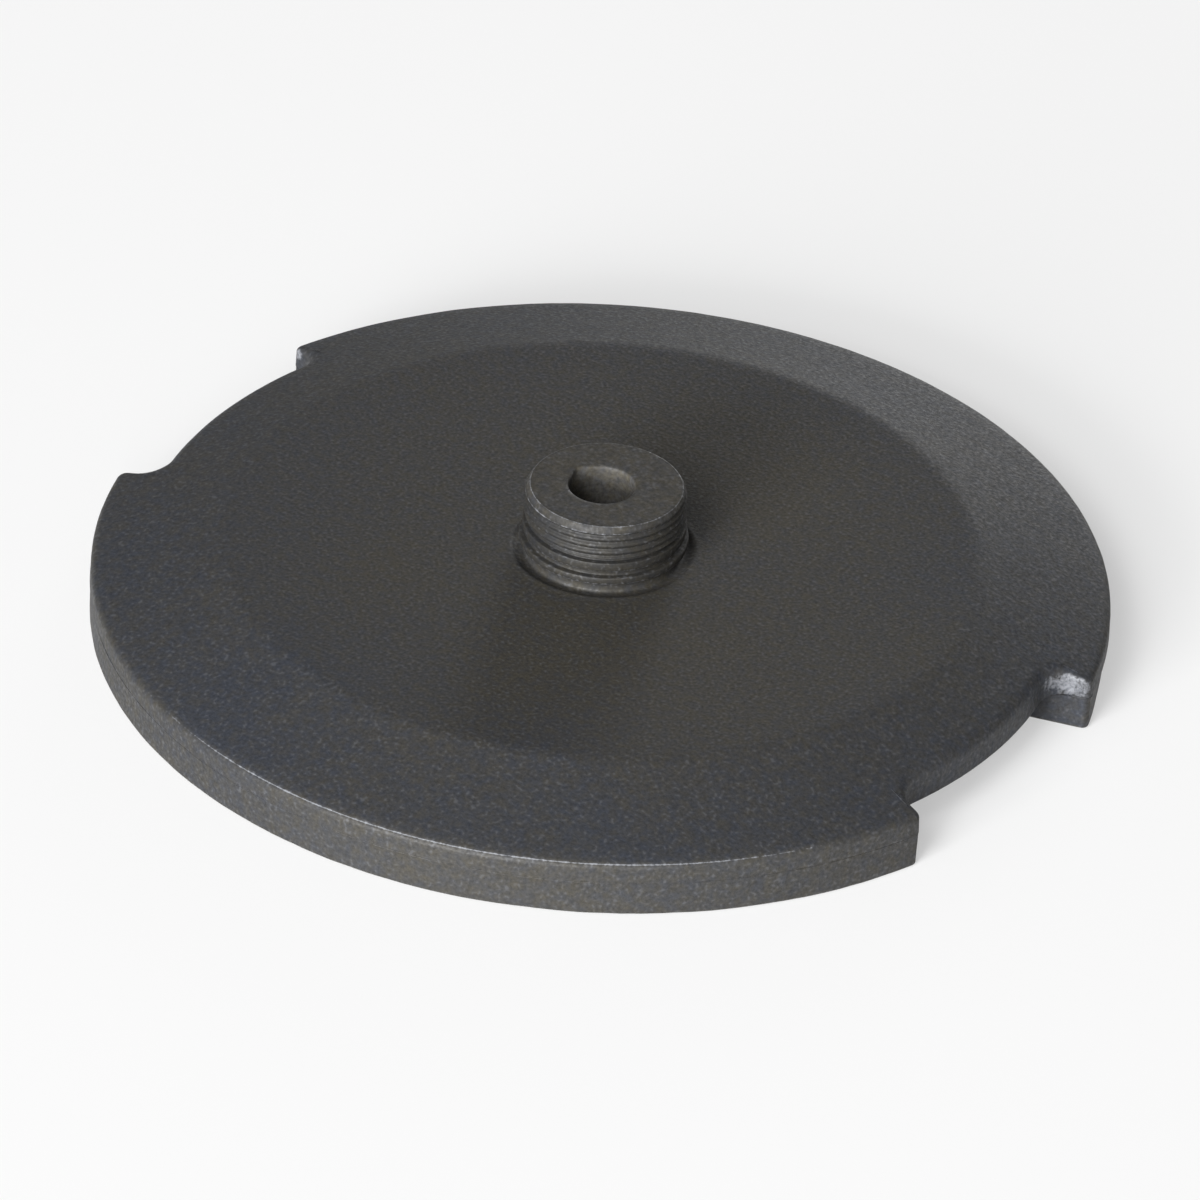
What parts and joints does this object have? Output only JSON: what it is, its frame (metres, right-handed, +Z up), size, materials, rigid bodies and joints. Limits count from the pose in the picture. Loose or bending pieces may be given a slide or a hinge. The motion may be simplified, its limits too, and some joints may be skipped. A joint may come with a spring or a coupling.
{
  "type": "umbrella base weight",
  "caption": "Round cast-iron weight disc with a raised centre, a threaded hub with a cored hole, and two hand notches in its rim.",
  "frame": {"origin": "centre of the underside, on the hub's axis, in the plane that the disc rests on", "axes": "+Z up along the hub's axis, out of the threaded end; +X and -X out through the middles of the two hand notches; +Y across them"},
  "size_m": [0.2856, 0.3, 0.049],
  "materials": {
    "powder_coated_cast_iron": "fine-textured charcoal powder coat over a sand casting, worn bright on its edges"
  },
  "bodies": {
    "root": {"weight_disc": "powder_coated_cast_iron"}
  },
  "joints": []
}
